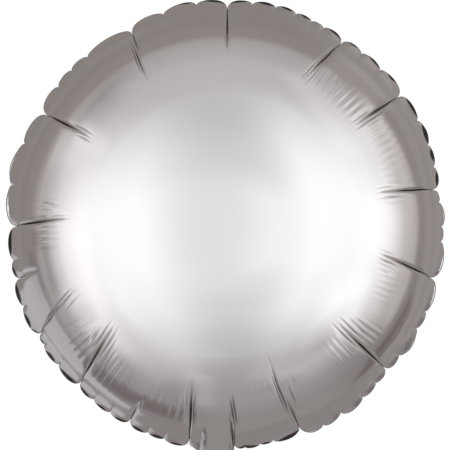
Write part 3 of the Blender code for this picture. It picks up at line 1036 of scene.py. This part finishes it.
# Its lights, walls, cards and flags: brightness, tint, and where each begins, ends, and how wide
# it fades there. Turn is degrees right of the front, rise is degrees above the horizon, clock is
# degrees round the line of sight from the top, and front is as above.
LIGHTS = (
    ("right softbox", 0.66, "#F8FCFF", {"turn": (-7, 95, 31, 40), "rise": (-50, 54, 32, 50)}),
    ("left softbox", 0.68, "#F8F9FF", {"turn": (-95, 11, 43, 34), "rise": (-62, 46, 46, 48)}),
    ("right strip", 0.19, "#FCFFFF", {"turn": (-0.5, 18, 5.5, 13), "rise": (-10, 8, 5, 5)}),
    ("right low box", 0.19, "#FFFFFF", {"turn": (28, 70, 12, 12), "rise": (-46, -12, 10, 14)}),
    ("left low box", 0.16, "#FBFBFF", {"turn": (-92, -42, 12, 12), "rise": (-54, 8, 12, 14)}),
    ("right high box", 0.12, "#FFFDFA", {"turn": (32, 106, 12, 8), "rise": (18, 66, 10, 12)}),
    ("left high box", 0.11, "#FFFFFF", {"turn": (-101, -52, 5, 14), "rise": (14, 37, 10, 12)}),
    ("gap above", -0.10, "#FFFFFF", {"turn": (-26, 20, 14, 12), "rise": (4, 46, 8, 24)}),
    ("gap below", -0.09, "#FFFFFF", {"turn": (-34, 36, 12, 12), "rise": (-44, -8, 12, 10)}),
    ("right wall", 0.24, "#FFFBF6", {"turn": (60, 111, 20, 8), "rise": (-38, 50, 10, 16)}),
    ("left wall", 0.13, "#FFFCFC", {"turn": (-112, -60, 12, 20), "rise": (-40, 48, 10, 20)}),
    ("right floor", 0.11, "#FFFCFC", {"turn": (8, 85, 15, 20), "rise": (-66, -30, 8, 20)}),
    ("left floor", 0.12, "#FFFDFD", {"turn": (-75, -8, 20, 12), "rise": (-68, -34, 8, 20)}),
    ("lilac card", 0.255, "#F5F6FF",
     {"turn": (-163, -110, 4, 3), "rise": (-39.5, 30, 3.5, 5), "clock": (-158, -102.5, 3, 2.5)}),
    ("wall behind right", 0.055, "#FFFBFA",
     {"clock": (15, 137, 30, 12), "front": (-0.97, -0.46, 0.15, 0.1)}),
    ("right flag", -0.11, "#FFFFFF", {"turn": (115, 145, 6, 6), "rise": (-42, -15, 6, 6)}),
    ("left flag", -0.085, "#FFFFFF",
     {"clock": (-172, -136, 10, 4), "front": (-0.62, -0.15, 0.14, 0.1)}),
    ("floor behind right", 0.045, "#FFFBF9",
     {"clock": (135, 181, 15, 1), "front": (-0.75, 0.3, 0.1, 0.25)}),
    ("floor behind neck", 0.045, "#FFFBF9",
     {"clock": (-181, -166, 1, 8), "front": (-0.75, 0.3, 0.1, 0.25)}),
    ("upper right panel", 0.055, "#FFFDFB",
     {"clock": (31, 56, 4, 6), "front": (-0.85, 0.2, 0.15, 0.15)}),
    ("upper left panel", 0.13, "#FFFFFF",
     {"clock": (-64, -52, 4, 4), "front": (0.08, 0.66, 0.10, 0.10)}),
    ("upper left gap", -0.07, "#FFFFFF",
     {"clock": (-55, -34, 4, 10), "front": (-0.05, 0.45, 0.1, 0.15)}),
    ("top panel", 0.05, "#FFFBF9", {"clock": (-37, 34, 12, 8), "front": (-0.13, 0.22, 0.08, 0.15)}),
    ("upper right gap", -0.16, "#FFFFFF",
     {"clock": (33, 55, 5, 6), "front": (-0.20, 0.42, 0.08, 0.20)}),
    ("left gap", -0.11, "#FFFFFF",
     {"clock": (-114, -91, 5, 3), "front": (-0.14, 0.33, 0.08, 0.10)}),
    ("left low gap", -0.11, "#FFFFFF",
     {"clock": (-99, -89, 3, 2), "front": (-0.36, 0.30, 0.10, 0.10)}),
    ("left rim gap", -0.05, "#FFFFFF",
     {"clock": (-114, -96, 4, 4), "front": (-0.55, -0.20, 0.08, 0.08)}),
    ("left step", -0.05, "#FFFFFF", {"clock": (-86, -66, 4, 5), "front": (0.05, 0.46, 0.10, 0.10)}),
    ("right gap", -0.08, "#FFFFFF", {"clock": (57, 121, 6, 8), "front": (-0.05, 0.30, 0.10, 0.10)}),
    ("right panel", 0.06, "#FFFFFF", {"clock": (76, 106, 6, 5), "front": (0.33, 0.64, 0.08, 0.08)}),
    ("upper right step", -0.055, "#FFFFFF",
     {"clock": (56, 72, 4, 4), "front": (-0.20, 0.48, 0.10, 0.10)}),
    ("right step", -0.055, "#FFFFFF",
     {"clock": (103, 119, 4, 4), "front": (0.10, 0.50, 0.10, 0.10)}),
    ("right low panel", 0.13, "#FFFFFF",
     {"clock": (122, 136, 4, 4), "front": (-0.12, 0.56, 0.10, 0.10)}),
    ("neck panel", 0.085, "#FFFFFF",
     {"clock": (-178, -165, 4, 3), "front": (-0.10, 0.56, 0.10, 0.10)}),
    ("left floor panel", 0.05, "#FFFFFF",
     {"clock": (-160, -144, 4, 4), "front": (-0.35, 0.28, 0.10, 0.10)}),
    ("left corner panel", 0.13, "#FFFFFF",
     {"clock": (-138, -125, 4, 4), "front": (-0.25, 0.47, 0.10, 0.10)}),
    ("left corner gap", -0.10, "#FFFFFF",
     {"clock": (-128, -117, 3, 4), "front": (0.0, 0.47, 0.10, 0.10)}),
    ("right corner gap", -0.13, "#FFFFFF",
     {"clock": (131, 146, 5, 5), "front": (0.40, 0.72, 0.08, 0.08)}),
    ("right corner panel", 0.06, "#FFFFFF",
     {"clock": (118, 175, 12, 15), "front": (0.25, 0.46, 0.07, 0.07)}),
    ("right middle box", 0.10, "#FFFFFF", {"turn": (38, 95, 12, 12), "rise": (-28, 12, 12, 12)}),
)


def studio_world():
    """Soft studio light all round, which the foil mirrors, and white behind it for the camera."""
    world = bpy.data.worlds.new("soft studio")
    world.use_nodes = True
    tree = world.node_tree
    tree.nodes.clear()
    way = add_node(tree, "ShaderNodeTexCoord").outputs["Generated"]
    parts = add_node(tree, "ShaderNodeSeparateXYZ", {}, {"Vector": way}).outputs
    front = add_node(tree, "ShaderNodeMath", {"operation": "MULTIPLY", 1: -1.0}, {0: parts["Y"]})
    axes = {
        "front": front,
        "rise": add_node(tree, "ShaderNodeMath", {"operation": "ARCSINE"}, {0: parts["Z"]}),
        "turn": add_node(
            tree, "ShaderNodeMath", {"operation": "ARCTAN2"}, {0: parts["X"], 1: front.outputs[0]}
        ),
        "clock": add_node(
            tree, "ShaderNodeMath", {"operation": "ARCTAN2"}, {0: parts["X"], 1: parts["Z"]}
        ),
    }
    place = add_node(
        tree, "ShaderNodeMapRange", {"From Min": -1.0, "From Max": 1.0}, {"Value": front.outputs[0]}
    )
    low, high = HORIZON
    above = add_node(
        tree, "ShaderNodeMapRange",
        {
            "interpolation_type": "SMOOTHSTEP", "From Min": math.radians(low),
            "From Max": math.radians(high),
        },
        {"Value": axes["rise"].outputs[0]},
    )
    room = add_node(tree, "ShaderNodeMix", {"data_type": "RGBA"}, {"Factor": above.outputs["Result"]})
    for stops, socket in ((ROOM_BELOW, "A"), (ROOM_ABOVE, "B")):
        ramp = add_node(tree, "ShaderNodeValToRGB", {}, {"Fac": place.outputs["Result"]})
        elements = ramp.color_ramp.elements
        elements.remove(elements[1])
        for number, (position, bright, tint) in enumerate(stops):
            stop = elements[0] if number == 0 else elements.new((position + 1) / 2)
            stop.position = (position + 1) / 2
            stop.color = [bright * part for part in linear(tint)[:3]] + [1]
        tree.links.new(ramp.outputs["Color"], room.inputs[socket])
    total = room.outputs["Result"]
    for _, bright, tint, limits in LIGHTS:
        lit = None
        for axis, (start, end, start_fade, end_fade) in limits.items():
            unit = 1 if axis == "front" else math.radians(1)
            for low, high, rises in ((start, start + start_fade, 1), (end - end_fade, end, 0)):
                fade = add_node(
                    tree, "ShaderNodeMapRange",
                    {
                        "interpolation_type": "SMOOTHSTEP", "From Min": low * unit,
                        "From Max": high * unit, "To Min": 1.0 - rises, "To Max": float(rises),
                    },
                    {"Value": axes[axis].outputs[0]},
                ).outputs["Result"]
                if lit is not None:
                    fade = add_node(
                        tree, "ShaderNodeMath", {"operation": "MULTIPLY"}, {0: lit, 1: fade}
                    ).outputs[0]
                lit = fade
        glow = [bright * part for part in linear(tint)[:3]]
        total = add_node(
            tree, "ShaderNodeVectorMath", {"operation": "MULTIPLY_ADD", 1: glow}, {0: lit, 2: total}
        ).outputs[0]
    seen = add_node(tree, "ShaderNodeBackground", {"Strength": 1.0, "Color": (1, 1, 1, 1)})
    mirrored = add_node(tree, "ShaderNodeBackground", {"Strength": 1.0}, {"Color": total})
    to_camera = add_node(tree, "ShaderNodeLightPath").outputs["Is Camera Ray"]
    both = add_node(
        tree, "ShaderNodeMixShader", {},
        {0: to_camera, 1: mirrored.outputs[0], 2: seen.outputs[0]},
    )
    add_node(tree, "ShaderNodeOutputWorld", {}, {"Surface": both.outputs[0]})
    return world


# The camera, from the photo's frame of 450 x 450 pixels
PHOTO_PIXELS = 450
PIXEL = 0.785 * MM
CENTRE_PIXEL = (225.5, 224.6)
SENSOR = 36.0
# How much light the floor gives off, which keeps it pale
FLOOR_GLOW = 0.45


class FOILBALLOON_OT_stage(bpy.types.Operator):
    """Adds the camera, the studio light and the floor."""

    bl_idname = "foil_balloon.stage"
    bl_label = "Stage"

    def execute(self, context):
        sizes = context.scene.balloon_studio
        scene = context.scene
        lens = bpy.data.cameras.new("camera")
        lens.sensor_width = SENSOR
        lens.lens = SENSOR * sizes.distance / (PHOTO_PIXELS * PIXEL)
        camera = bpy.data.objects.new("camera", lens)
        camera.location = (
            (PHOTO_PIXELS / 2 - CENTRE_PIXEL[0]) * PIXEL,
            -sizes.distance,
            (CENTRE_PIXEL[1] - PHOTO_PIXELS / 2) * PIXEL,
        )
        camera.rotation_euler = (math.pi / 2, 0, 0)
        scene.collection.objects.link(camera)
        scene.camera = camera
        scene.world = studio_world()
        scene.view_settings.view_transform = "Standard"
        bm = bmesh.new()
        bmesh.ops.create_grid(bm, x_segments=1, y_segments=1, size=sizes.floor_size / 2)
        for vert in bm.verts:
            vert.co.z = -sizes.floor_drop
        # Matt paint scatters light evenly, so the floor is one plain tone
        made, _, shader = new_material("matt floor paint")
        shader.inputs["Base Color"].default_value = linear("#EDECEA")
        shader.inputs["Roughness"].default_value = 0.8
        shader.inputs["Emission Color"].default_value = linear("#F4F3F1")
        shader.inputs["Emission Strength"].default_value = FLOOR_GLOW
        floor = to_object(bm, "floor", made)
        return {"FINISHED"}


class FOILBALLOON_OT_panels(bpy.types.Operator):
    """Adds the two round panels of foil."""

    bl_idname = "foil_balloon.panels"
    bl_label = "Foil panels"

    def execute(self, context):
        sizes = context.scene.balloon_film
        foil = metallised_film(context.scene.balloon_finishes, True)
        for name, node, side in (
            ("foil_front", "front_panel", -1),
            ("foil_back", "back_panel", 1),
        ):
            panel = make_panel(name, side, sizes, foil)
            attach(panel, "envelope")
            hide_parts(node)
        return {"FINISHED"}


class FOILBALLOON_OT_weld(bpy.types.Operator):
    """Adds the welded edge round both panels."""

    bl_idname = "foil_balloon.weld"
    bl_label = "Welded edge"

    def execute(self, context):
        sealed = heat_sealed_film(context.scene.balloon_finishes, True)
        weld = make_weld(context.scene.balloon_film, sealed)
        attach(weld, "envelope")
        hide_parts("edge_seam")
        return {"FINISHED"}


# The tail bends from the neck's foot to a little below its hinge
BEND_START = (HINGE[0], 0, HINGE[2] + 1.4 * MM)
BEND_END = (HINGE[0], 0, HINGE[2] - 3.0 * MM)


class FOILBALLOON_OT_tail(bpy.types.Operator):
    """Adds the filling tail: two gathered foils and the welds down its sides."""

    bl_idname = "foil_balloon.tail"
    bl_label = "Filling tail"

    def execute(self, context):
        sizes = context.scene.balloon_film
        finishes = context.scene.balloon_finishes
        foil = metallised_film(finishes, False)
        sealed = heat_sealed_film(finishes, False)
        for name, node, side in (
            ("tail_foil_front", "tail_front", -1),
            ("tail_foil_back", "tail_back", 1),
        ):
            piece = make_tail_foil(name, side, sizes, foil)
            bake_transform(piece, "envelope", "tail", start=BEND_START, end=BEND_END)
            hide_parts(node)
        for name, node, side in (
            ("tail_seal_left", "tail_weld_left", -1),
            ("tail_seal_right", "tail_weld_right", 1),
        ):
            piece = make_tail_weld(name, side, sizes, sealed)
            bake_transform(piece, "envelope", "tail", start=BEND_START, end=BEND_END)
            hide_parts(node)
        return {"FINISHED"}


class FOILBALLOON_OT_valve(bpy.types.Operator):
    """Adds the clear films of the self-sealing valve."""

    bl_idname = "foil_balloon.valve"
    bl_label = "Valve films"

    def execute(self, context):
        clear = clear_film(context.scene.balloon_finishes)
        for name, node, side in (
            ("valve_lip_front", "valve_film_front", -1),
            ("valve_lip_back", "valve_film_back", 1),
        ):
            piece = make_valve_film(name, side, context.scene.balloon_film, clear)
            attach(piece, "tail")
            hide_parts(node)
        return {"FINISHED"}


class FOILBALLOON_PT_pieces(bpy.types.Panel):
    """Lists the balloon's pieces and the sizes and colours behind them."""

    bl_idname = "FOILBALLOON_PT_pieces"
    bl_label = "Round Foil Balloon"
    bl_space_type = "VIEW_3D"
    bl_region_type = "UI"
    bl_category = "Foil Balloon"

    def draw(self, context):
        for operator in OPERATORS:
            self.layout.operator(operator.bl_idname)
        for settings in (
            context.scene.balloon_film, context.scene.balloon_finishes, context.scene.balloon_studio,
        ):
            box = self.layout.box()
            for key in settings.bl_rna.properties.keys():
                if key not in ("rna_type", "name"):
                    box.prop(settings, key)


OPERATORS = (
    FOILBALLOON_OT_stage, FOILBALLOON_OT_panels, FOILBALLOON_OT_weld, FOILBALLOON_OT_tail,
    FOILBALLOON_OT_valve,
)
CLASSES = (FilmSizes, Finishes, StudioSizes, *OPERATORS, FOILBALLOON_PT_pieces)


def register():
    """Adds the classes and their settings to Blender."""
    for made in CLASSES:
        bpy.utils.register_class(made)
    bpy.types.Scene.balloon_film = PointerProperty(type=FilmSizes)
    bpy.types.Scene.balloon_finishes = PointerProperty(type=Finishes)
    bpy.types.Scene.balloon_studio = PointerProperty(type=StudioSizes)


def unregister():
    """Takes them out again."""
    del bpy.types.Scene.balloon_studio
    del bpy.types.Scene.balloon_finishes
    del bpy.types.Scene.balloon_film
    for made in reversed(CLASSES):
        bpy.utils.unregister_class(made)


def main():
    """Makes every piece and the stage."""
    register()
    bpy.ops.foil_balloon.stage()
    bpy.ops.foil_balloon.panels()
    bpy.ops.foil_balloon.weld()
    bpy.ops.foil_balloon.tail()
    bpy.ops.foil_balloon.valve()


if __name__ == "__main__":
    main()
